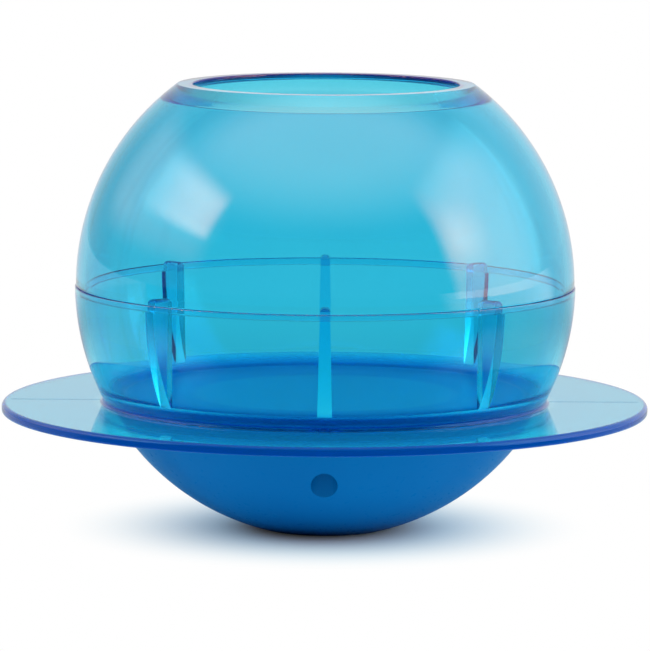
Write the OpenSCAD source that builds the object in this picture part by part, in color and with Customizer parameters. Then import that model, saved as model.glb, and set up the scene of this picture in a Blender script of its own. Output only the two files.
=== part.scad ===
// Wobbling treat toy: an open dome sits on a brimmed bowl, over a weighted round base.
// Millimetres, +Z up, origin on the floor under the middle of the foot, front towards -Y.

/* [Ball] */
// Outer diameter of the dome
ball_d = 99; // [92:0.5:106]
// Wall of the dome and of the bowl under it
wall = 1.75; // [1.4:0.05:2.4]
// Diameter of the open mouth, at its inner edge
mouth_d = 52.8; // [40:0.2:64]
// Height of the upright edge inside the mouth
mouth_edge = 1; // [0.4:0.1:1.2]
// How far below the mouth the wall starts to thicken towards that edge
neck_depth = 3.6; // [2:0.1:6]
// How far the seam lies below the middle of the ball
seam_drop = 0.3; // [0:0.1:3]
// How far the bowl's rim stands out past the dome
rim_step = 0.2; // [0:0.05:0.4]

/* [Lap joint] */
// How far the dome's lip reaches down inside the bowl's rim
lip_depth = 1.2; // [0.8:0.1:3]
// How far the lip stands back from the inside of the dome
lip_inset = 0.15; // [0.05:0.05:0.3]
// Gap beside and under the lip
lip_gap = 0.1; // [0.05:0.05:0.2]

/* [Brim] */
// Outer diameter of the brim
brim_d = 128.5; // [115:0.5:145]
// Thickness of the brim
brim_t = 1.9; // [1.4:0.1:3]
// How far the brim's top lies below the middle of the ball
brim_drop = 23.5; // [20:0.5:27]
// Rounding of the brim's upper edge
brim_top_r = 0.9; // [0.3:0.1:0.95]
// Rounding of the brim's lower edge
brim_low_r = 0.4; // [0.2:0.1:0.7]
// Rounding where the bowl meets the top of the brim
brim_root_r = 0.6; // [0.3:0.1:1.5]

/* [Floor of the bowl] */
// Thickness of the floor
floor_t = 2; // [1.6:0.1:3]
// How far the floor's top lies above the brim's top
floor_rise = 1.5; // [0.5:0.1:3]
// Rounding where the floor meets the wall
floor_root_r = 5; // [1:0.5:6]

/* [Ribs] */
// How far a rib stands in from the wall
rib_depth = 4.85; // [3:0.05:6]
// Width of a rib at its top
rib_top_w = 1.9; // [1.2:0.1:3]
// Width of a rib at the floor
rib_foot_w = 2.9; // [1.5:0.1:4]
// How far a rib stands up past the seam
rib_rise = 1; // [0.2:0.1:3]
// Gap between a rib's top and the dome's lip
rib_gap = 0.5; // [0.3:0.1:1]

/* [Base] */
// Outer diameter of the round base
base_d = 97.4; // [92:0.2:104]
// Diameter of the flat foot under it
foot_d = 24.8; // [16:0.2:34]
// How far the middle of the base lies below the middle of the ball
base_drop = 1.7; // [0:0.1:4]
// Wall of the base
base_wall = 2; // [1.6:0.1:2.6]
// Thickness over the flat foot
foot_t = 2; // [1.6:0.1:3]
// Height of the ring on the bowl that centres the base
ring_h = 1.5; // [0.8:0.1:1.9]
// Wall of that ring
ring_t = 1.6; // [1:0.1:2.5]
// Gap between that ring and the base
ring_gap = 0.15; // [0.05:0.05:0.3]

/* [Base screws] */
// Wall of the tower around the tunnel that a screw goes up
tower_wall = 1.4; // [1:0.1:2]
// Distance of a screw's axis from the inside of the base's rim
screw_inset = 5.1; // [4.6:0.1:7]
// How far the top of a tower lies below the brim
tower_drop = 2.7; // [2:0.1:3.6]
// Thickness of the ledge under which a screw's head seats
ledge_t = 1.5; // [1:0.1:2.5]
// Diameter of the boss that a screw goes into
boss_d = 6; // [5:0.1:7]
// Diameter of a base screw
screw_d = 2.5; // [2:0.1:3]
// Diameter of a base screw's head
screw_head_d = 4.6; // [4:0.1:5.4]
// Height of a base screw's head
screw_head_h = 1.7; // [1.2:0.1:2]
// Floor left over the end of a screw's hole
floor_skin = 1; // [0.6:0.1:1.4]

/* [Ballast] */
// Height of the iron weight
ballast_h = 11; // [7:0.5:12]
// Gap between the weight and the base's wall
ballast_gap = 0.3; // [0.2:0.1:1]
// Gap between the weight and the screw towers
tower_gap = 3; // [1:0.5:6]
// Diameter of the post through the weight
post_d = 8; // [7:0.1:10]
// Thickness of the washer on the weight
washer_t = 1; // [0.6:0.1:1.5]
// Diameter of the washer
washer_d = 16; // [13:0.5:20]
// Diameter of the screw in the post
post_screw_d = 3; // [2.5:0.1:4]
// Diameter of that screw's head
post_head_d = 5.6; // [5:0.1:7]
// Height of that screw's head
post_head_h = 2.1; // [1.5:0.1:2.5]

/* [Hidden] */
$fn = 180;

// Screws run this much clear of their holes, and stop this far short of a blind end
screw_gap = 0.05;
tip_gap = 0.5;
// A loose hole is this much wider than its screw or post, and a tunnel than a screw's head
loose = 0.4;
head_gap = 0.3;
// The washer bears on the weight, this far above the post
post_gap = 0.3;
// Stock under the blind hole in the post
post_root = 3;
// Pieces of one solid run this far into each other, and cuts run this far past a face
bite = 0.4;

dome_r = ball_d / 2;
bowl_r = dome_r + rim_step;
base_r = base_d / 2;
brim_r = brim_d / 2;

base_z = sqrt(pow(base_r, 2) - pow(foot_d / 2, 2));
ball_z = base_z + base_drop;
seam_z = ball_z - seam_drop;
mouth_z = ball_z + sqrt(pow(dome_r - wall, 2) - pow(mouth_d / 2, 2));
brim_z = ball_z - brim_drop;
rest_z = brim_z - brim_t;
floor_z = brim_z + floor_rise;

// The lap joint splits the bowl's wall in two: the rim outside, the dome's lip inside
rim_in_r = bowl_r - wall / 2;
lip_out_r = rim_in_r - lip_gap;
lip_in_r = dome_r - wall + lip_inset;
lap_z = seam_z - lip_depth - lip_gap;

// Ribs and base screws by their turn from the front
rib_angles = [0, 44, 136, 180, 224, 316];
screw_angles = [0, 120, 240];

rib_r = bowl_r - wall - rib_depth;
rib_tip_r = lip_in_r - rib_gap;
rib_top_z = seam_z + rib_rise;

// The ring's outside follows the base's inner ball, and its inside is straight
ring_out_r = base_r - base_wall - ring_gap;
ring_in_r = slice_r(ring_out_r, rest_z - ring_h - base_z) - ring_t;

tunnel_d = screw_head_d + 2 * head_gap;
tower_d = tunnel_d + 2 * tower_wall;
tower_top_z = rest_z - tower_drop;
seat_z = tower_top_z - ledge_t;
screw_r = slice_r(base_r - base_wall, rest_z - base_z) - screw_inset;
hole_top_z = floor_z - floor_skin;
screw_len = hole_top_z - tip_gap - seat_z;

ballast_top_z = foot_t + ballast_h;
ballast_r = screw_r - tower_d / 2 - tower_gap;
post_top_z = ballast_top_z - post_gap;
post_screw_len = ballast_h + washer_t - post_root - tip_gap;

// Radius of a ball's slice at a height above or below its middle
function slice_r(radius, height) = sqrt(pow(radius, 2) - pow(height, 2));

// Half outline of the space between two heights, as wide as any piece
module band(low, high) {
    translate([0, low]) square([brim_r, high - low]);
}

// Half outline of a round wall with its middle on the axis
module round_wall(middle, outer, thickness) {
    difference() {
        translate([0, middle]) circle(outer);
        translate([0, middle]) circle(outer - thickness);
    }
}

// Filler for the corner between a flat at level and a ball of this radius, from inside or outside it
module corner(radius, level, round_r, outside) {
    side = outside ? 1 : -1;
    reach = radius + side * round_r;
    mid_z = level + round_r;
    mid_r = slice_r(reach, mid_z - ball_z);
    touch = radius - side * bite;
    touch_r = mid_r * touch / reach;
    touch_z = ball_z + (mid_z - ball_z) * touch / reach;
    low_z = level - bite;
    low_r = slice_r(touch, low_z - ball_z);
    difference() {
        polygon([[mid_r, mid_z], [touch_r, touch_z], [low_r, low_z], [mid_r, low_z]]);
        translate([mid_r, mid_z]) circle(round_r);
    }
}

// Stock that thickens the wall from inside, up to the mouth's upright edge
module neck_outline() {
    start_z = mouth_z - neck_depth;
    start_r = slice_r(dome_r - wall, start_z - ball_z);
    mouth_r = mouth_d / 2;
    polygon([[mouth_r, mouth_z], [mouth_r, mouth_z - mouth_edge], [start_r, start_z], [mouth_r + wall, mouth_z]]);
}

module dome_outline() {
    intersection() {
        round_wall(ball_z, dome_r, wall);
        band(seam_z, mouth_z);
    }
    neck_outline();
    translate([lip_in_r, seam_z - lip_depth]) square([lip_out_r - lip_in_r, lip_depth + bite]);
}

module upper_dome() {
    color([0.25, 0.68, 0.86, 0.55]) rotate_extrude() dome_outline();
}

// The brim runs in under the floor as far as the ring that hangs from it
module brim_outline() {
    low_z = rest_z + brim_low_r;
    high_z = brim_z - brim_top_r;
    intersection() {
        union() {
            translate([ring_in_r, rest_z]) square([brim_r - brim_top_r - ring_in_r, brim_t]);
            translate([ring_in_r, rest_z]) square([brim_r - brim_low_r - ring_in_r, high_z - rest_z]);
            translate([ring_in_r, low_z]) square([brim_r - ring_in_r, high_z - low_z]);
            translate([brim_r - brim_low_r, low_z]) circle(brim_low_r);
            translate([brim_r - brim_top_r, high_z]) circle(brim_top_r);
        }
        band(rest_z, brim_z);
    }
}

module floor_outline() {
    intersection() {
        band(floor_z - floor_t, floor_z);
        translate([0, ball_z]) circle(bowl_r - wall / 2);
    }
}

// Ring under the brim that drops inside the rim of the base
module ring_outline() {
    intersection() {
        translate([0, base_z]) circle(ring_out_r);
        translate([ring_in_r, rest_z - ring_h]) square([brim_r, ring_h + bite]);
    }
}

module bowl_outline() {
    difference() {
        intersection() {
            round_wall(ball_z, bowl_r, wall);
            band(rest_z, seam_z);
        }
        translate([0, lap_z]) square([rim_in_r, seam_z - lap_z + bite]);
    }
    brim_outline();
    floor_outline();
    ring_outline();
    corner(bowl_r, brim_z, brim_root_r, true);
    corner(bowl_r - wall, floor_z, floor_root_r, false);
}

// Where a rib may stand: between its inner edge and the wall, clear of the dome's lip
module rib_outline() {
    difference() {
        intersection() {
            translate([rib_r, floor_z]) square([bowl_r - rib_r, rib_top_z - floor_z]);
            union() {
                translate([0, ball_z]) circle(bowl_r - wall / 2);
                band(ball_z, rib_top_z);
            }
        }
        translate([rib_tip_r, lap_z]) square([bowl_r, rib_top_z - lap_z + bite]);
    }
}

module ribs() {
    intersection() {
        rotate_extrude() rib_outline();
        for (angle = rib_angles) {
            rotate(angle) rotate([90, 0, 0]) linear_extrude(bowl_r) polygon([
                [-rib_foot_w / 2, floor_z], [rib_foot_w / 2, floor_z],
                [rib_top_w / 2, rib_top_z], [-rib_top_w / 2, rib_top_z]]);
        }
    }
}

// One copy at the axis of each base screw
module at_screws() {
    for (angle = screw_angles) {
        rotate(angle) translate([0, -screw_r, 0]) children();
    }
}

// Bosses hang from the floor and stay clear of the base's wall
module bosses() {
    boss_top_z = floor_z - floor_t / 2;
    intersection() {
        at_screws() translate([0, 0, tower_top_z]) cylinder(d = boss_d, h = boss_top_z - tower_top_z);
        translate([0, 0, base_z]) sphere(ring_out_r);
    }
}

module feeder_bowl() {
    color([0.15, 0.58, 0.82, 0.6]) difference() {
        union() {
            rotate_extrude() bowl_outline();
            ribs();
            bosses();
        }
        at_screws() translate([0, 0, tower_top_z - bite])
            cylinder(d = screw_d + 2 * screw_gap, h = hole_top_z - tower_top_z + bite);
    }
}

module base_outline() {
    difference() {
        intersection() {
            translate([0, base_z]) circle(base_r);
            band(0, rest_z);
        }
        intersection() {
            translate([0, base_z]) circle(base_r - base_wall);
            band(foot_t, rest_z + bite);
        }
    }
}

// Towers run from the wall up to the bosses, and stay inside the outer face of the base
module towers() {
    intersection() {
        at_screws() cylinder(d = tower_d, h = tower_top_z);
        translate([0, 0, base_z]) sphere(base_r - base_wall / 2);
    }
}

module base_shell() {
    color([0.02, 0.36, 0.66]) difference() {
        union() {
            rotate_extrude() base_outline();
            towers();
            translate([0, 0, foot_t / 2]) cylinder(d = post_d, h = post_top_z - foot_t / 2);
        }
        at_screws() translate([0, 0, -bite]) cylinder(d = tunnel_d, h = seat_z + bite);
        at_screws() cylinder(d = screw_d + loose, h = tower_top_z + bite);
        translate([0, 0, foot_t + post_root])
            cylinder(d = post_screw_d + 2 * screw_gap, h = post_top_z - foot_t - post_root + bite);
    }
}

module ballast_weight() {
    color([0.3, 0.3, 0.31]) difference() {
        intersection() {
            translate([0, 0, base_z]) sphere(base_r - base_wall - ballast_gap);
            translate([0, 0, foot_t]) cylinder(r = ballast_r, h = ballast_h);
        }
        translate([0, 0, foot_t - bite]) cylinder(d = post_d + loose, h = ballast_h + 2 * bite);
    }
}

module ballast_washer() {
    color([0.7, 0.7, 0.72]) translate([0, 0, ballast_top_z]) difference() {
        cylinder(d = washer_d, h = washer_t);
        translate([0, 0, -bite]) cylinder(d = post_screw_d + loose, h = washer_t + 2 * bite);
    }
}

// Screw with its shank up from 0 and a domed, cross-slotted head below
module pan_screw(shank_d, length, head_d, head_h) {
    crown_r = head_d;
    slot_w = head_d / 6;
    slot_l = head_d / 2;
    difference() {
        union() {
            cylinder(d = shank_d, h = length);
            intersection() {
                translate([0, 0, -head_h]) cylinder(d = head_d, h = head_h);
                translate([0, 0, crown_r - head_h]) sphere(crown_r);
            }
        }
        for (turn = [0, 90]) {
            rotate(turn) translate([-slot_l / 2, -slot_w / 2, -head_h - bite])
                cube([slot_l, slot_w, head_h / 2 + bite]);
        }
    }
}

module ballast_screw() {
    color([0.7, 0.7, 0.72]) translate([0, 0, ballast_top_z + washer_t]) rotate([180, 0, 0])
        pan_screw(post_screw_d, post_screw_len, post_head_d, post_head_h);
}

module base_screw(angle) {
    color([0.7, 0.7, 0.72]) rotate(angle) translate([0, -screw_r, seat_z])
        pan_screw(screw_d, screw_len, screw_head_d, screw_head_h);
}

upper_dome();
feeder_bowl();
base_shell();
ballast_weight();
ballast_washer();
ballast_screw();
base_screw(screw_angles[0]);  // front_base_screw
base_screw(screw_angles[1]);  // right_base_screw
base_screw(screw_angles[2]);  // left_base_screw
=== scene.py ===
"""Looks of the wobbling treat toy: a see-through dome and bowl over an opaque, weighted base."""
import math

import bmesh
import bpy
from mathutils import Matrix, Vector


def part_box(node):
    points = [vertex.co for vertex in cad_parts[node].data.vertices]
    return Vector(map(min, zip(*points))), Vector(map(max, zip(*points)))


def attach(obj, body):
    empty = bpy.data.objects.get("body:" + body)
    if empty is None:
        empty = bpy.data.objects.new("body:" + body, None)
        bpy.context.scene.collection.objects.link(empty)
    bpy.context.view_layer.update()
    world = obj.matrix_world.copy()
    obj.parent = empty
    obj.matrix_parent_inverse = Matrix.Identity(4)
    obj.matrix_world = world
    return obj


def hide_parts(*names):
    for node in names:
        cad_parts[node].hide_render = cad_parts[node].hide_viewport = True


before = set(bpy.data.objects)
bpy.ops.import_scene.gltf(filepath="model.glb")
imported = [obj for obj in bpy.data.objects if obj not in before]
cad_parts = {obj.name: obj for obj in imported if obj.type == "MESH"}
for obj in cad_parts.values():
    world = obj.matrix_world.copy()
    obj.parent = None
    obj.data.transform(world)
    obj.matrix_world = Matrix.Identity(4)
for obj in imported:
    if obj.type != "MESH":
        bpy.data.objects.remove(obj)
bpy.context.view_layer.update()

# Metres in a millimetre
MM = 0.001

# Sizes in millimetres that the part's source sets, or that follow from others there
WALL = 1.75
MOUTH_D = 52.8
MOUTH_EDGE = 1
NECK_DEPTH = 3.6
SEAM_DROP = 0.3
RIM_STEP = 0.2
LIP_DEPTH = 1.2
LIP_INSET = 0.15
LIP_GAP = 0.1
BRIM_DROP = 23.5
FLOOR_T = 2
FLOOR_RISE = 1.5
RIB_DEPTH = 4.85
RIB_TOP_W = 1.9
RIB_FOOT_W = 2.9
RIB_GAP = 0.5
BASE_DROP = 1.7
BASE_WALL = 2
FOOT_T = 2
RING_H = 1.5
RING_T = 1.6
RING_GAP = 0.15
SCREW_INSET = 5.1
TOWER_DROP = 2.7
TOWER_D = 8
LEDGE_T = 1.5
BOSS_D = 6
TUNNEL_D = 5.2
SCREW_HOLE_D = 2.6
LEDGE_HOLE_D = 2.9
FLOOR_SKIN = 1
POST_D = 8
POST_HOLE_D = 3.1
POST_ROOT = 3
POST_GAP = 0.3
BALLAST_H = 11

# Small forms that only the looks have, in millimetres: a step in the dome, roundings and mould lines
LIP_RISE = 1.3
BRIM_TOP_R = 0.9
BRIM_LOW_R = 0.4
BRIM_ROOT_R = 0.6
FLOOR_ROOT_R = 5
EDGE_R = 0.3
RIB_EDGE_R = 0.8
FINE_R = 0.2
PARTING_W = 0.4
PARTING_H = 0.03
# Faces that touch in the real thing are drawn this far apart
SKIN = 0.02
# Pieces of one solid run this far into each other
BITE = 0.4

# Turns from the front, in degrees
RIB_ANGLES = (0, 44, 136, 180, 224, 316)
SCREW_ANGLES = (0, 120, 240)
PARTING_ANGLES = (90, 270)

# Fineness of the meshes, in steps
ROUND_STEPS = 360
POST_STEPS = 64
BEND_STEPS = 10
RIB_EDGE_STEPS = 4
# In millimetres along a ball, and in radians around a small rounding
ARC_LENGTH = 1.1
ROUNDING_STEP = math.radians(15)
# Edges that turn further than this stay sharp
SHARP_ANGLE = math.radians(35)
# Pull of large faces on the smoothing, at most 100
FLAT_PULL = 100

# Colours of the see-through plastic: its walls, its floor with painted shade towards its rim, painted shade
# at its foot, its brim, and a painted glow on the brim's edge
WALL_BLUES = ((0.36, 0.86, 0.96), (0.38, 0.875, 0.97))
# The floor's own milky blue, and a deeper blue of painted shade towards its rim
FLOOR_BLUE_AND_SHADE = ((0.02, 0.55, 0.92, 1), (0, 0.4, 0.86, 1))
# Painted shade in the creases where the wall meets the floor and the brim
FOOT_SHADE_BLUE = (0.01, 0.27, 0.72, 1)
BRIM_BLUE = (0.04, 0.71, 0.88, 1)
# Painted glow on the brim's edge, for light that runs along inside the brim
EDGE_GLOW_BLUE = (0, 0.11, 0.54, 1)
# What its depth lets through, and how fast the rest is lost, to the metre
DEPTH_BLUE = (0, 0.88, 0.98, 1)
DEPTH_DENSITY = 400
# What it lets through to lamps
LAMP_BLUE = (0.85, 0.94, 0.97, 1)
# Tints of its gloss, high up and low down
WARM_GLOSS = (1, 0.88, 0.78, 1)
COOL_GLOSS = (0.03, 0.4, 1, 1)
# Shares of it that are clear, where it is a little milky
FLOOR_CLEAR = 0.81
BRIM_CLEAR = 0.84
# The edge is this milky so that its painted glow shows
EDGE_GLOW_CLEAR = 0.45
# Roughness of its floor and its foot, and how far the ribs and the neck go towards it
DULL = 0.35
INSET_DULL = 0.5
# Share of the foot's painted shade and dullness on the outside of the wall
OUTER_FOOT_SHADE = 0.4
# Fades between its zones, from and to, in millimetres outwards from the brim's rim
BRIM_END_FADE = (-1, -0.5)
# Outwards from the outer face of the wall's foot
BRIM_START_FADE = (0.5, 3)
# Upwards from the brim
BRIM_TOP_FADE = (0.02, 0.15)
# Upwards from the floor
FLOOR_TOP_FADE = (0, 0.3)
FOOT_TOP_FADE = (0.3, 2.8)
LOW_WALL_FADE = (7, 17)
# Outwards from the inner face of the ring under the floor
OVER_RING_FADE = (-13, -10)
FLOOR_END_FADE = (2, 3)
FOOT_START_FADE = (1, 3)
FOOT_OUTSIDE_FADE = (5.5, 6.5)
# Outwards from the wall's inner face
INSET_FADE = (-0.35, -0.05)

# Values between which most of a noise lies
NOISE_LOW = 0.3
NOISE_HIGH = 0.7
# Heights of grain, in metres
FINE_GRAIN = 0.00001
CAST_GRAIN = 0.0001

# Colour of the light that gloss shows, and distance of the lamps in metres
WARM = (1, 0.52, 0.3)
LAMP_REACH = 0.85
# Light that runs along inside the walls needs long paths
LONG_PATH = 40


def slice_r(radius, height):
    """Radius of a ball's slice at a height above or below its middle."""
    return math.sqrt(radius ** 2 - height ** 2)


# Heights and radii that the frame gives
dome_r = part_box("upper_dome")[1].x / MM
mouth_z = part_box("upper_dome")[1].z / MM
brim_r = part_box("feeder_bowl")[1].x / MM
rib_top_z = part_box("feeder_bowl")[1].z / MM
base_rim_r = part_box("base_shell")[1].x / MM
rest_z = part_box("base_shell")[1].z / MM

# What follows from them
ball_z = mouth_z - slice_r(dome_r - WALL, MOUTH_D / 2)
bowl_r = dome_r + RIM_STEP
seam_z = ball_z - SEAM_DROP
rim_in_r = bowl_r - WALL / 2
lip_out_r = rim_in_r - LIP_GAP
lip_in_r = dome_r - WALL + LIP_INSET
lip_z = seam_z - LIP_DEPTH
lap_z = lip_z - LIP_GAP
brim_z = ball_z - BRIM_DROP
brim_in_r = slice_r(bowl_r, brim_z - ball_z)
floor_z = brim_z + FLOOR_RISE
rib_r = bowl_r - WALL - RIB_DEPTH
rib_tip_r = lip_in_r - RIB_GAP
base_z = ball_z - BASE_DROP
base_r = math.hypot(base_rim_r, rest_z - base_z)
ring_out_r = base_r - BASE_WALL - RING_GAP
ring_z = rest_z - RING_H
ring_in_r = slice_r(ring_out_r, ring_z - base_z) - RING_T
screw_r = slice_r(base_r - BASE_WALL, rest_z - base_z) - SCREW_INSET
tower_top_z = rest_z - TOWER_DROP
seat_z = tower_top_z - LEDGE_T
post_top_z = FOOT_T + BALLAST_H - POST_GAP


# Outlines and meshes

def arc(middle_z, radius, start_z, end_z):
    """Points of a half outline along a ball about the axis, between two heights, ends left out."""
    start = math.asin((start_z - middle_z) / radius)
    end = math.asin((end_z - middle_z) / radius)
    steps = math.ceil(abs(end - start) * radius / ARC_LENGTH)
    turns = [start + (end - start) * step / steps for step in range(1, steps)]
    return [(radius * math.cos(turn), middle_z + radius * math.sin(turn), 0) for turn in turns]


def bend(middle_r, middle_z, radius, start, end):
    """Points of a half outline along a small arc between two angles, both ends included."""
    turns = [start + (end - start) * step / BEND_STEPS for step in range(BEND_STEPS + 1)]
    return [(middle_r + radius * math.cos(turn), middle_z + radius * math.sin(turn), 0) for turn in turns]


def root(radius, level, rounding, outside):
    """Rounding between a flat and the ball above it, from the flat to either face of the ball's wall."""
    side = 1 if outside else -1
    reach = radius + side * rounding
    middle_z = level + rounding
    middle_r = slice_r(reach, middle_z - ball_z)
    lean = math.atan2(middle_z - ball_z, middle_r)
    end = lean - math.pi if outside else lean
    return bend(middle_r, middle_z, rounding, -math.pi / 2, end)


def rounded(corners):
    """Outline through corners of (radius, height, rounding), each rounded by an arc of its own."""
    points = []
    for index, (r, z, rounding) in enumerate(corners):
        here = Vector((r, z))
        if rounding == 0:
            points.append(here)
            continue
        before = (Vector(corners[index - 1][:2]) - here).normalized()
        after = (Vector(corners[(index + 1) % len(corners)][:2]) - here).normalized()
        half = before.angle(after) / 2
        middle = here + (before + after).normalized() * rounding / math.sin(half)
        start = here + before * rounding / math.tan(half) - middle
        end = here + after * rounding / math.tan(half) - middle
        turn = math.atan2(start.cross(end), start.dot(end))
        steps = math.ceil(abs(turn) / ROUNDING_STEP)
        points += [middle + Matrix.Rotation(turn * step / steps, 2) @ start for step in range(steps + 1)]
    return points


def piece_from(mesh, name):
    """Object of this name from a mesh in millimetres."""
    bmesh.ops.recalc_face_normals(mesh, faces=mesh.faces)
    bmesh.ops.scale(mesh, vec=(MM, MM, MM), verts=mesh.verts)
    data = bpy.data.meshes.new(name)
    mesh.to_mesh(data)
    mesh.free()
    piece = bpy.data.objects.new(name, data)
    bpy.context.scene.collection.objects.link(piece)
    return piece


def lathe(name, outline):
    """Solid of revolution about the Z axis from a closed half outline."""
    mesh = bmesh.new()
    turns = [math.tau * step / ROUND_STEPS for step in range(ROUND_STEPS)]
    rings = []
    for r, z in outline:
        if r == 0:
            rings.append([mesh.verts.new((0, 0, z))] * ROUND_STEPS)
        else:
            rings.append([mesh.verts.new((r * math.sin(t), -r * math.cos(t), z)) for t in turns])
    for ring, above in zip(rings, rings[1:] + rings[:1]):
        for step in range(ROUND_STEPS):
            corners = (ring[step - 1], ring[step], above[step], above[step - 1])
            corners = list(dict.fromkeys(corners))
            if len(corners) > 2:
                mesh.faces.new(corners)
    return piece_from(mesh, name)


def column(mesh, x, y, radius, foot, top_z):
    """Adds an upright round column whose foot follows a height that depends on the place."""
    turns = [math.tau * step / POST_STEPS for step in range(POST_STEPS)]
    places = [(x + radius * math.cos(t), y + radius * math.sin(t)) for t in turns]
    low = [mesh.verts.new((px, py, foot(px, py))) for px, py in places]
    high = [mesh.verts.new((px, py, top_z)) for px, py in places]
    middle = mesh.verts.new((x, y, foot(x, y)))
    mesh.faces.new(high)
    for step in range(POST_STEPS):
        mesh.faces.new((low[step - 1], low[step], high[step], high[step - 1]))
        mesh.faces.new((low[step], low[step - 1], middle))


def flat_at(z):
    """Foot of a column that is flat at one height."""
    return lambda x, y: z


def at_screws(name, radius, foot, top_z):
    """One column at each base screw, as one object."""
    mesh = bmesh.new()
    for angle in SCREW_ANGLES:
        turn = math.radians(angle)
        column(mesh, screw_r * math.sin(turn), -screw_r * math.cos(turn), radius, foot, top_z)
    return piece_from(mesh, name)


def combine(piece, tool, operation):
    """Joins a tool to a piece or cuts it away, and removes the tool."""
    step = piece.modifiers.new(tool.name, "BOOLEAN")
    step.operation = operation
    step.solver = "MANIFOLD"
    step.object = tool
    result = bpy.data.meshes.new_from_object(piece.evaluated_get(bpy.context.evaluated_depsgraph_get()))
    piece.modifiers.clear()
    piece.data = result
    bpy.data.objects.remove(tool)


def finish_piece(piece, body, node, material):
    """Smooths a finished mesh, dresses it and lets it stand for its node."""
    piece.data.name = piece.name
    piece.data.shade_smooth()
    piece.data.set_sharp_from_angle(angle=SHARP_ANGLE)
    weighted = piece.modifiers.new("smooth flats", "WEIGHTED_NORMAL")
    weighted.weight = FLAT_PULL
    weighted.keep_sharp = True
    piece.data.materials.clear()
    piece.data.materials.append(material)
    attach(piece, body)
    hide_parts(node)


# Pieces

def dome_outline():
    """Half outline of the dome: a ball's wall with a thicker neck, and a lip inside the bowl's rim."""
    outer_r = slice_r(dome_r, mouth_z - ball_z)
    inner_r = dome_r - WALL
    shoulder_z = seam_z + SKIN
    step_z = seam_z + LIP_RISE
    neck_z = mouth_z - NECK_DEPTH
    return rounded([
        (slice_r(dome_r, SEAM_DROP), shoulder_z, FINE_R),
        *arc(ball_z, dome_r, shoulder_z, mouth_z),
        (outer_r, mouth_z, EDGE_R),
        (MOUTH_D / 2, mouth_z, EDGE_R),
        (MOUTH_D / 2, mouth_z - MOUTH_EDGE, EDGE_R),
        (slice_r(inner_r, neck_z - ball_z), neck_z, 0),
        *arc(ball_z, inner_r, neck_z, step_z),
        (slice_r(inner_r, step_z - ball_z), step_z, 0),
        (lip_in_r, step_z, 0),
        (lip_in_r, lip_z, FINE_R),
        (lip_out_r, lip_z, FINE_R),
        (lip_out_r, shoulder_z, 0)])


def bowl_outline():
    """Half outline of the bowl: floor, wall, brim, and the ring that centres the base."""
    inner_r = bowl_r - WALL
    floor_low_z = floor_z - FLOOR_T
    rim_z = seam_z - SKIN
    floor_root = root(inner_r, floor_z, FLOOR_ROOT_R, False)
    brim_root = root(bowl_r, brim_z, BRIM_ROOT_R, True)
    return rounded([
        (0, floor_z, 0),
        *floor_root,
        *arc(ball_z, inner_r, floor_root[-1][1], lap_z),
        (slice_r(inner_r, lap_z - ball_z), lap_z, 0),
        (rim_in_r, lap_z, 0),
        (rim_in_r, rim_z, FINE_R),
        (slice_r(bowl_r, SEAM_DROP), rim_z, FINE_R),
        *arc(ball_z, bowl_r, rim_z, brim_root[-1][1]),
        *reversed(brim_root),
        (brim_r, brim_z, BRIM_TOP_R),
        (brim_r, rest_z, BRIM_LOW_R),
        (slice_r(ring_out_r, rest_z - base_z), rest_z, 0),
        (slice_r(ring_out_r, ring_z - base_z), ring_z, FINE_R),
        (ring_in_r, ring_z, FINE_R),
        (ring_in_r, floor_low_z, EDGE_R),
        (0, floor_low_z, 0)])


def ribs():
    """Upright ribs inside the bowl, with rounded edges, rooted in its wall and floor."""
    root_z = floor_z - BITE
    root_r = slice_r(bowl_r - WALL / 2, root_z - ball_z)
    wall = arc(ball_z, bowl_r - WALL / 2, root_z, lap_z)
    outline = [(rib_r, root_z), (root_r, root_z)]
    outline += [(r, z) for r, z, _ in wall]
    outline += [(slice_r(bowl_r - WALL / 2, lap_z - ball_z), lap_z), (rib_tip_r, lap_z)]
    outline += [(rib_tip_r, rib_top_z), (rib_r, rib_top_z)]
    taper = (RIB_FOOT_W - RIB_TOP_W) / (rib_top_z - floor_z)
    mesh = bmesh.new()
    for angle in RIB_ANGLES:
        turn = Matrix.Rotation(math.radians(angle), 3, "Z")
        sides = []
        for side in (-1, 1):
            half = [side * (RIB_TOP_W + taper * (rib_top_z - z)) / 2 for _, z in outline]
            sides.append([mesh.verts.new(turn @ Vector((h, -r, z))) for h, (r, z) in zip(half, outline)])
        mesh.faces.new(sides[0])
        mesh.faces.new(sides[1])
        for step in range(len(outline)):
            mesh.faces.new((sides[0][step - 1], sides[0][step], sides[1][step], sides[1][step - 1]))
    free = [edge for edge in mesh.edges if all(on_free_side(corner.co) for corner in edge.verts)]
    bmesh.ops.bevel(
        mesh, geom=free, offset=RIB_EDGE_R, segments=RIB_EDGE_STEPS, profile=0.5, affect="EDGES")
    return piece_from(mesh, "ribs")


def on_free_side(place):
    """Whether a corner of a rib lies on its inner edge or its top, above the floor."""
    inner = math.hypot(place.x, place.y) < rib_r + RIB_FOOT_W / 4
    top = place.z > rib_top_z - SKIN
    return top or inner and place.z > floor_z


def parting_lines():
    """Fine raised lines across the brim, left by the two halves of the mould."""
    end_r = brim_r - 2 * BRIM_TOP_R
    foot = PARTING_W / 2
    crest = PARTING_W / 4
    section = ((-foot, -BITE), (foot, -BITE), (crest, PARTING_H), (-crest, PARTING_H))
    mesh = bmesh.new()
    for angle in PARTING_ANGLES:
        turn = Matrix.Rotation(math.radians(angle), 3, "Z")
        ends = []
        for r in (brim_in_r, end_r):
            ends.append([mesh.verts.new(turn @ Vector((side, -r, brim_z + rise))) for side, rise in section])
            mesh.faces.new(ends[-1])
        for step in range(len(section)):
            mesh.faces.new((ends[0][step - 1], ends[0][step], ends[1][step], ends[1][step - 1]))
    return piece_from(mesh, "parting_lines")


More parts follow.
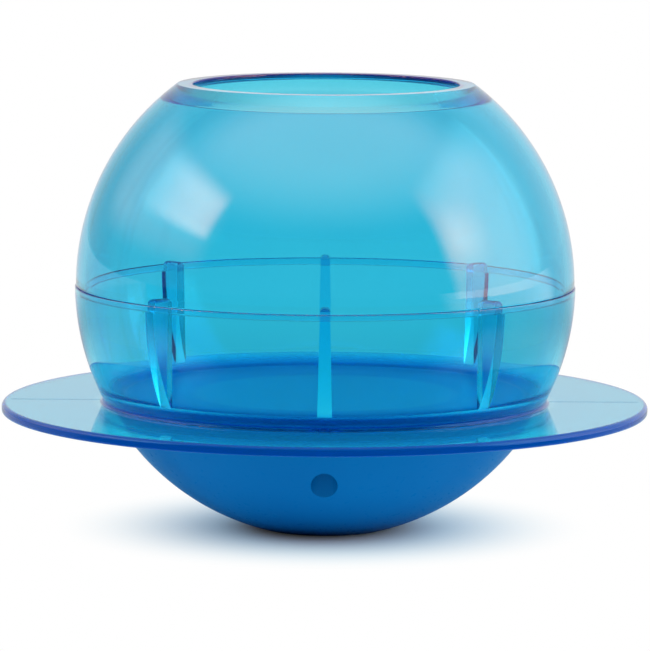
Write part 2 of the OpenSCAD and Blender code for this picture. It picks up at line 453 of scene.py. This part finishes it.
def make_dome(material):
    dome = lathe("clear_dome", dome_outline())
    finish_piece(dome, "dome", "upper_dome", material)


def make_bowl(material):
    bowl = lathe("clear_bowl", bowl_outline())
    combine(bowl, ribs(), "UNION")
    combine(bowl, parting_lines(), "UNION")
    bosses = at_screws("bosses", BOSS_D / 2, flat_at(tower_top_z + SKIN), floor_z - FLOOR_T / 2)
    combine(bowl, bosses, "UNION")
    holes = at_screws("holes", SCREW_HOLE_D / 2, flat_at(tower_top_z - BITE), floor_z - FLOOR_SKIN)
    combine(bowl, holes, "DIFFERENCE")
    finish_piece(bowl, "base", "feeder_bowl", material)


def base_outline():
    """Half outline of the base: a ball's wall with a flat foot, and a post for the weight."""
    inner_r = base_r - BASE_WALL
    top_z = rest_z - SKIN
    hole_z = FOOT_T + POST_ROOT
    return rounded([
        (0, 0, 0),
        (slice_r(base_r, base_z), 0, 0),
        *arc(base_z, base_r, 0, top_z),
        (slice_r(base_r, top_z - base_z), top_z, EDGE_R),
        (slice_r(inner_r, top_z - base_z), top_z, EDGE_R),
        *arc(base_z, inner_r, top_z, FOOT_T),
        (slice_r(inner_r, FOOT_T - base_z), FOOT_T, 0),
        (POST_D / 2, FOOT_T, EDGE_R),
        (POST_D / 2, post_top_z, EDGE_R),
        (POST_HOLE_D / 2, post_top_z, 0),
        (POST_HOLE_D / 2, hole_z, 0),
        (0, hole_z, 0)])


def in_base_wall(x, y):
    """Height of the middle of the base's wall at a place."""
    return base_z - slice_r(base_r - BASE_WALL / 2, math.hypot(x, y))


def make_base(material):
    base = lathe("round_base", base_outline())
    combine(base, at_screws("towers", TOWER_D / 2, in_base_wall, tower_top_z), "UNION")
    combine(base, at_screws("tunnels", TUNNEL_D / 2, flat_at(-BITE), seat_z), "DIFFERENCE")
    ledge_holes = at_screws("ledge_holes", LEDGE_HOLE_D / 2, flat_at(seat_z - BITE), tower_top_z + BITE)
    combine(base, ledge_holes, "DIFFERENCE")
    finish_piece(base, "base", "base_shell", material)


# Shader nodes

def new_material(name):
    """New material, its node tree and its Principled shader."""
    material = bpy.data.materials.new(name)
    material.use_nodes = True
    tree = material.node_tree
    shader = tree.nodes["Principled BSDF"]
    return material, tree, shader


def feed(tree, given, socket):
    """Gives an input a constant, or links it to another node's output."""
    if isinstance(given, bpy.types.NodeSocket):
        tree.links.new(given, socket)
    else:
        socket.default_value = given


def math_node(tree, operation, first, second):
    """Result of one operation on two values, each a socket or a number."""
    node = tree.nodes.new("ShaderNodeMath")
    node.operation = operation
    feed(tree, first, node.inputs[0])
    feed(tree, second, node.inputs[1])
    return node.outputs["Value"]


def vector_node(tree, operation, first, second):
    """Node for one operation on two vectors, the first a socket and the second a constant."""
    node = tree.nodes.new("ShaderNodeVectorMath")
    node.operation = operation
    node.inputs[1].default_value = second
    tree.links.new(first, node.inputs[0])
    return node


def mapped(tree, value, start, end, low, high):
    """Value spread smoothly from low at start to high at end. Low and high may be sockets."""
    spread = tree.nodes.new("ShaderNodeMapRange")
    spread.interpolation_type = "SMOOTHSTEP"
    names = ("Value", "From Min", "From Max", "To Min", "To Max")
    for name, given in zip(names, (value, start, end, low, high)):
        feed(tree, given, spread.inputs[name])
    return spread.outputs["Result"]


def between(tree, share, first, second):
    """Value between two others, each a socket or a number, by a share from 0 to 1."""
    return mapped(tree, share, 0, 1, first, second)


def mixed(tree, share, first, second):
    """Colour between two others, each a socket or a constant, by a share from 0 to 1."""
    mix = tree.nodes.new("ShaderNodeMix")
    mix.data_type = "RGBA"
    tree.links.new(share, mix.inputs["Factor"])
    feed(tree, first, mix.inputs["A"])
    feed(tree, second, mix.inputs["B"])
    return mix.outputs["Result"]


def mix_shaders(tree, share, first, second):
    """Puts a share of the second shader in the first one's place, at the material's surface."""
    mix = tree.nodes.new("ShaderNodeMixShader")
    tree.links.new(share, mix.inputs["Fac"])
    tree.links.new(first, mix.inputs[1])
    tree.links.new(second, mix.inputs[2])
    tree.links.new(mix.outputs["Shader"], tree.nodes["Material Output"].inputs["Surface"])


def axes_of(tree, place):
    """X, Y and Z of a place or a direction, by name."""
    axes = tree.nodes.new("ShaderNodeSeparateXYZ")
    tree.links.new(place, axes.inputs["Vector"])
    return axes.outputs


def own_place(tree):
    """Place on the object itself, in metres."""
    return tree.nodes.new("ShaderNodeTexCoord").outputs["Object"]


def noise(tree, scale, detail):
    """Noise over the object's own place, in repeats to the metre."""
    texture = tree.nodes.new("ShaderNodeTexNoise")
    texture.inputs["Scale"].default_value = scale
    texture.inputs["Detail"].default_value = detail
    tree.links.new(own_place(tree), texture.inputs["Vector"])
    return texture.outputs["Fac"]


def ranged(tree, value, low, high):
    """Noise spread between two values."""
    spread = tree.nodes.new("ShaderNodeMapRange")
    spread.inputs["From Min"].default_value = NOISE_LOW
    spread.inputs["From Max"].default_value = NOISE_HIGH
    spread.inputs["To Min"].default_value = low
    spread.inputs["To Max"].default_value = high
    tree.links.new(value, spread.inputs["Value"])
    return spread.outputs["Result"]


def tinted(tree, value, dark, light):
    """Noise spread between two colours."""
    ramp = tree.nodes.new("ShaderNodeValToRGB")
    ramp.color_ramp.elements[0].position = NOISE_LOW
    ramp.color_ramp.elements[0].color = (*dark, 1)
    ramp.color_ramp.elements[1].position = NOISE_HIGH
    ramp.color_ramp.elements[1].color = (*light, 1)
    tree.links.new(value, ramp.inputs["Fac"])
    return ramp.outputs["Color"]


def bumped(tree, value, shader, depth):
    """Lets a noise raise the surface by a depth in metres."""
    bump = tree.nodes.new("ShaderNodeBump")
    bump.inputs["Strength"].default_value = 1
    bump.inputs["Distance"].default_value = depth
    tree.links.new(value, bump.inputs["Height"])
    tree.links.new(bump.outputs["Normal"], shader.inputs["Normal"])


# Materials

def faded(tree, measure, start, fade, low, high):
    """Value from low to high across a fade, which is counted from a start. Both are in millimetres."""
    return mapped(tree, measure, (start + fade[0]) * MM, (start + fade[1]) * MM, low, high)


def plastic_zones(tree):
    """Shares of the zones in which the plastic is unlike its polished walls, by place. Some of them carry
    painted shade or a painted glow.
    """
    place = own_place(tree)
    height = axes_of(tree, place)["Z"]
    flat = vector_node(tree, "MULTIPLY", place, (1, 1, 0)).outputs["Vector"]
    radius = vector_node(tree, "LENGTH", flat, (0, 0, 0)).outputs["Value"]
    reach = vector_node(tree, "DISTANCE", place, (0, 0, ball_z * MM)).outputs["Value"]
    low = faded(tree, height, floor_z, FOOT_TOP_FADE, 1, 0)
    inner_foot = faded(tree, radius, ring_in_r, FOOT_START_FADE, 0, low)
    outer_foot = faded(tree, height, brim_z, BRIM_TOP_FADE, 0, low)
    outer_foot = math_node(tree, "MULTIPLY", outer_foot, OUTER_FOOT_SHADE)
    low_wall = faded(tree, height, floor_z, LOW_WALL_FADE, 1, 0)
    inside = faded(tree, radius, ring_in_r, FLOOR_END_FADE, 1, 0)
    below = faded(tree, height, brim_z, BRIM_TOP_FADE, 1, 0)
    return {
        "foot": faded(tree, radius, ring_in_r, FOOT_OUTSIDE_FADE, inner_foot, outer_foot),
        "low wall": faded(tree, height, brim_z, BRIM_TOP_FADE, 0, low_wall),
        "floor": faded(tree, height, floor_z, FLOOR_TOP_FADE, inside, 0),
        "floor rim shade": faded(tree, radius, ring_in_r, OVER_RING_FADE, 0, 1),
        "brim": faded(tree, radius, brim_in_r, BRIM_START_FADE, 0, below),
        "brim edge glow": faded(tree, radius, brim_r, BRIM_END_FADE, 0, 1),
        "inset": faded(tree, reach, dome_r - WALL, INSET_FADE, INSET_DULL, 0)}


def plastic_colour(tree, zones):
    """Colour of the plastic's skin: deeper on the floor and on the brim, with painted shade at the foot and
    towards the floor's rim, and a painted glow on the brim's edge.
    """
    colour = tinted(tree, noise(tree, 60, 3), *WALL_BLUES)
    # painted shade at the wall's foot
    colour = mixed(tree, zones["foot"], colour, FOOT_SHADE_BLUE)
    # painted shade on the floor's outer part
    colour = mixed(tree, zones["floor"], colour, mixed(tree, zones["floor rim shade"], *FLOOR_BLUE_AND_SHADE))
    colour = mixed(tree, zones["brim"], colour, BRIM_BLUE)
    # painted glow on the brim's edge
    return mixed(tree, zones["brim edge glow"], colour, EDGE_GLOW_BLUE)


def clear_blue():
    """Polished, see-through blue plastic, coloured by the depth that light crosses, with painted shade at
    its foot and floor and a painted glow on the brim's edge.
    """
    material, tree, shader = new_material("clear_blue")
    shader.inputs["IOR"].default_value = 1.5
    zones = plastic_zones(tree)
    tree.links.new(plastic_colour(tree, zones), shader.inputs["Base Color"])
    cool = math_node(tree, "MAXIMUM", zones["low wall"], zones["brim edge glow"])
    tree.links.new(mixed(tree, cool, WARM_GLOSS, COOL_GLOSS), shader.inputs["Specular Tint"])
    clear = between(tree, zones["floor"], 1, FLOOR_CLEAR)
    clear = between(tree, zones["brim"], clear, BRIM_CLEAR)
    clear = between(tree, zones["brim edge glow"], clear, EDGE_GLOW_CLEAR)
    tree.links.new(clear, shader.inputs["Transmission Weight"])
    polish = ranged(tree, noise(tree, 700, 4), 0.01, 0.03)
    dull = math_node(tree, "MAXIMUM", zones["floor"], zones["foot"])
    dull = math_node(tree, "MAXIMUM", dull, zones["inset"])
    tree.links.new(between(tree, dull, polish, DULL), shader.inputs["Roughness"])
    bumped(tree, noise(tree, 90, 1), shader, FINE_GRAIN)
    absorb = tree.nodes.new("ShaderNodeVolumeAbsorption")
    absorb.inputs["Color"].default_value = DEPTH_BLUE
    absorb.inputs["Density"].default_value = DEPTH_DENSITY
    tree.links.new(absorb.outputs["Volume"], tree.nodes["Material Output"].inputs["Volume"])
    let_light_through(tree, shader)
    return material


def let_light_through(tree, shader):
    """Lets lamps light what lies behind the plastic. The depth that the light crosses still colours it."""
    path = tree.nodes.new("ShaderNodeLightPath").outputs
    either = math_node(tree, "MAXIMUM", path["Is Shadow Ray"], path["Is Diffuse Ray"])
    through = tree.nodes.new("ShaderNodeBsdfTransparent")
    through.inputs["Color"].default_value = LAMP_BLUE
    mix_shaders(tree, either, shader.outputs["BSDF"], through.outputs["BSDF"])


def base_blue():
    """Opaque blue plastic with a faint moulded grain."""
    material, tree, shader = new_material("base_blue")
    shader.inputs["Specular IOR Level"].default_value = 0.02
    colour = tinted(tree, noise(tree, 40, 4), (0, 0.115, 0.365), (0, 0.13, 0.395))
    tree.links.new(colour, shader.inputs["Base Color"])
    tree.links.new(ranged(tree, noise(tree, 900, 3), 0.26, 0.36), shader.inputs["Roughness"])
    bumped(tree, noise(tree, 2500, 2), shader, FINE_GRAIN)
    return material


def cast_iron():
    """Grey iron with the rough skin of a casting."""
    material, tree, shader = new_material("ballast_iron")
    shader.inputs["Metallic"].default_value = 1
    colour = tinted(tree, noise(tree, 250, 6), (0.09, 0.09, 0.1), (0.22, 0.22, 0.23))
    tree.links.new(colour, shader.inputs["Base Color"])
    tree.links.new(ranged(tree, noise(tree, 400, 5), 0.5, 0.8), shader.inputs["Roughness"])
    bumped(tree, noise(tree, 900, 4), shader, CAST_GRAIN)
    return material


def zinc_steel():
    """Zinc-plated steel of the screws and the washer."""
    material, tree, shader = new_material("screw_steel")
    shader.inputs["Metallic"].default_value = 1
    colour = tinted(tree, noise(tree, 600, 4), (0.5, 0.5, 0.53), (0.68, 0.68, 0.7))
    tree.links.new(colour, shader.inputs["Base Color"])
    tree.links.new(ranged(tree, noise(tree, 1500, 4), 0.22, 0.4), shader.inputs["Roughness"])
    bumped(tree, noise(tree, 3000, 3), shader, FINE_GRAIN)
    return material


def dress(node, material):
    """Gives a node of the frame its material."""
    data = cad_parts[node].data
    data.materials.clear()
    data.materials.append(material)


# Stage, light and camera

def ray_kinds(tree):
    """What tells rays apart, by name, and those by way of gloss or glass, as 1 or 0."""
    path = tree.nodes.new("ShaderNodeLightPath").outputs
    mirrored = math_node(tree, "MAXIMUM", path["Is Glossy Ray"], path["Is Transmission Ray"])
    return path, mirrored


def make_world(front, glass_front, back, left, above, dim_above, light):
    """White to the camera. Gloss and glass show a room bright above, and gloss shows it dim in front.

    The ceiling is warm in gloss. It is dim towards the back, and where gloss shows it a second time.
    A share of the room lights what is dull, with a ceiling as bright at the back.
    """
    left_to_middle = (-0.9, 0)
    front_to_back = (-0.6, 0.1)
    ceiling_to_back = (-0.05, 0.45)
    walls_to_ceiling = (0.45, 0.95)
    world = bpy.data.worlds.new("studio")
    bpy.context.scene.world = world
    world.use_nodes = True
    tree = world.node_tree
    background = tree.nodes["Background"]
    axes = axes_of(tree, tree.nodes.new("ShaderNodeTexCoord").outputs["Generated"])
    path, mirrored = ray_kinds(tree)
    glass = path["Is Transmission Ray"]
    before = between(tree, glass, front, glass_front)
    behind = mapped(tree, axes["X"], *left_to_middle, left, back)
    around = mapped(tree, axes["Y"], *front_to_back, before, behind)
    near = mapped(tree, path["Glossy Depth"], 1, 2, above, dim_above)
    far = between(tree, mirrored, above, dim_above)
    ceiling = mapped(tree, axes["Y"], *ceiling_to_back, near, far)
    room = mapped(tree, axes["Z"], *walls_to_ceiling, around, ceiling)
    gloss = between(tree, glass, mirrored, 0)
    warm = mapped(tree, axes["Z"], *walls_to_ceiling, 0, gloss)
    tree.links.new(mixed(tree, warm, (1, 1, 1, 1), (*WARM, 1)), background.inputs["Color"])
    lit = math_node(tree, "MULTIPLY", room, light)
    strength = between(tree, mirrored, lit, room)
    tree.links.new(between(tree, path["Is Camera Ray"], strength, 1), background.inputs["Strength"])


def make_floor(size, colour, gloss, glass, far, right, bounce):
    """Pale floor that keeps shadows near the object and is plain further off, where it is seen.

    Gloss and glass show it as bright as the given pairs, in front of the object and behind it.
    To the right gloss shows it under the lamps there. Dull faces get a bright bounce from it.
    """
    shadow_fade = (0.009, 0.054)
    bounce_fade = (0.015, 0.05)
    plain_fade = (0.1, 0.25)
    front_fade = (-0.09, -0.06)
    front_to_back = (-0.06, 0)
    back_to_far = (0.2, 0.4)
    lamp_side = (0.78, 0.9)
    lamp_fade = (0.3, 0.5)
    mesh = bmesh.new()
    bmesh.ops.create_grid(mesh, x_segments=1, y_segments=1, size=size / MM)
    floor = piece_from(mesh, "floor")
    material, tree, shader = new_material("floor")
    shader.inputs["Base Color"].default_value = colour
    shader.inputs["Roughness"].default_value = 0.9
    shader.inputs["Specular IOR Level"].default_value = 0
    place = own_place(tree)
    axes = axes_of(tree, place)
    distance = vector_node(tree, "LENGTH", place, (0, 0, 0)).outputs["Value"]
    path, mirrored = ray_kinds(tree)
    camera = path["Is Camera Ray"]
    through = path["Is Transmission Ray"]
    dull = path["Is Diffuse Ray"]
    white = mapped(tree, distance, *shadow_fade, 0, camera)
    bright = mapped(tree, distance, *bounce_fade, 0, dull)
    behind_front = mapped(tree, distance, *plain_fade, 0, mirrored)
    plain = mapped(tree, axes["Y"], *front_fade, mirrored, behind_front)
    share = math_node(tree, "MAXIMUM", white, plain)
    share = math_node(tree, "MAXIMUM", share, bright)
    before = between(tree, through, gloss[0], glass[0])
    behind = between(tree, through, gloss[1], glass[1])
    near = mapped(tree, axes["Y"], *front_to_back, before, behind)
    room = mapped(tree, axes["Y"], *back_to_far, near, far)
    sideways = math_node(tree, "DIVIDE", axes["X"], distance)
    under_lamps = mapped(tree, sideways, *lamp_side, room, between(tree, through, right, room))
    beside = mapped(tree, distance, *lamp_fade, room, under_lamps)
    glow = tree.nodes.new("ShaderNodeEmission")
    strength = between(tree, dull, beside, bounce)
    tree.links.new(between(tree, camera, strength, 1), glow.inputs["Strength"])
    mix_shaders(tree, share, shader.outputs["BSDF"], glow.outputs["Emission"])
    floor.data.materials.append(material)


def make_lamp(name, turn, rise, width, height, glow, fades, shown):
    """Rectangular lamp at a turn from the front and a rise, both in degrees, that looks at the ball.

    It is as bright as glow times white and fades over shares of its width and height, at the start and
    the end of each. A shown lamp is only seen in gloss, and any other lights what is dull or clear.
    """
    turned = Matrix.Rotation(math.radians(turn), 3, "Z")
    raised = Matrix.Rotation(math.radians(-rise), 3, "X")
    away = turned @ raised @ Vector((0, -1, 0))
    data = bpy.data.lights.new(name, "AREA")
    data.color = WARM if shown else (1, 1, 1)
    data.shape = "RECTANGLE"
    data.size = width
    data.size_y = height
    data.energy = glow * math.pi * width * height
    data.use_nodes = True
    tree = data.node_tree
    axes = axes_of(tree, tree.nodes.new("ShaderNodeNewGeometry").outputs["Parametric"])
    share = 1
    for axis, (start, end) in zip("XY", fades):
        share = mapped(tree, axes[axis], 0, start, 0, share)
        share = mapped(tree, axes[axis], 1 - end, 1, share, 0)
    tree.links.new(share, tree.nodes["Emission"].inputs["Strength"])
    lamp = bpy.data.objects.new(name, data)
    lamp.location = Vector((0, 0, ball_z * MM)) + LAMP_REACH * away
    lamp.rotation_euler = (-away).to_track_quat("-Z", "Y").to_euler()
    lamp.visible_diffuse = not shown
    lamp.visible_glossy = shown
    lamp.visible_transmission = not shown
    bpy.context.scene.collection.objects.link(lamp)


def make_lamps():
    """Lamps at both sides: those that gloss shows, and plain ones that light the dull and the clear."""
    make_lamp("left softbox", turn=-84, rise=33, width=0.83, height=0.39, glow=7,
              fades=((0.85, 0.12), (0.2, 0.35)), shown=True)
    make_lamp("left sheet", turn=-97, rise=27, width=1.5, height=0.62, glow=1.5,
              fades=((0.35, 0.2), (0.3, 0.3)), shown=True)
    make_lamp("right core", turn=71, rise=21, width=0.52, height=0.57, glow=5.7,
              fades=((0.33, 0.67), (0.45, 0.5)), shown=True)
    make_lamp("right panel", turn=90.5, rise=23, width=1.17, height=1, glow=3.5,
              fades=((0.12, 0.65), (0.1, 0.3)), shown=True)
    make_lamp("left fill", turn=-87, rise=31, width=0.9, height=0.42, glow=3.2,
              fades=((0.3, 0.3), (0.3, 0.3)), shown=False)
    make_lamp("right fill", turn=94, rise=24, width=1, height=0.9, glow=2,
              fades=((0.15, 0.15), (0.15, 0.15)), shown=False)


def make_camera():
    """Long lens in front of the ball, a little above it."""
    distance = 1.0662
    elevation = math.radians(6.634)
    roll = math.radians(0.3)
    aim_drop = 0.00837
    data = bpy.data.cameras.new("camera")
    data.sensor_fit = "HORIZONTAL"
    data.sensor_width = 36
    data.lens = 297.1
    camera = bpy.data.objects.new("camera", data)
    ball = Vector((0, 0, ball_z * MM))
    place = ball + distance * Vector((0, -math.cos(elevation), math.sin(elevation)))
    aim = ball - aim_drop * Vector((0, math.sin(elevation), math.cos(elevation)))
    look = (aim - place).to_track_quat("-Z", "Y").to_matrix().to_4x4()
    camera.matrix_world = Matrix.Translation(place) @ look @ Matrix.Rotation(roll, 4, "Z")
    bpy.context.scene.collection.objects.link(camera)
    bpy.context.scene.camera = camera


plastic = clear_blue()
make_dome(plastic)
make_bowl(plastic)
make_base(base_blue())
dress("ballast_weight", cast_iron())
steel = zinc_steel()
for name in ("ballast_washer", "ballast_screw", "front_base_screw", "right_base_screw", "left_base_screw"):
    dress(name, steel)

make_world(front=0.05, glass_front=0.6, back=0.85, left=0.35, above=2.7, dim_above=0.5, light=0.43)
make_floor(size=12, colour=(0.8, 0.97, 0.98, 1), gloss=(0.02, 0.5), glass=(0.5, 0.65), far=0.8, right=2.3,
           bounce=1.4)
make_lamps()
make_camera()
bpy.context.scene.view_settings.view_transform = "Standard"
bpy.context.scene.cycles.max_bounces = LONG_PATH
bpy.context.scene.cycles.glossy_bounces = LONG_PATH
bpy.context.scene.cycles.transmission_bounces = LONG_PATH
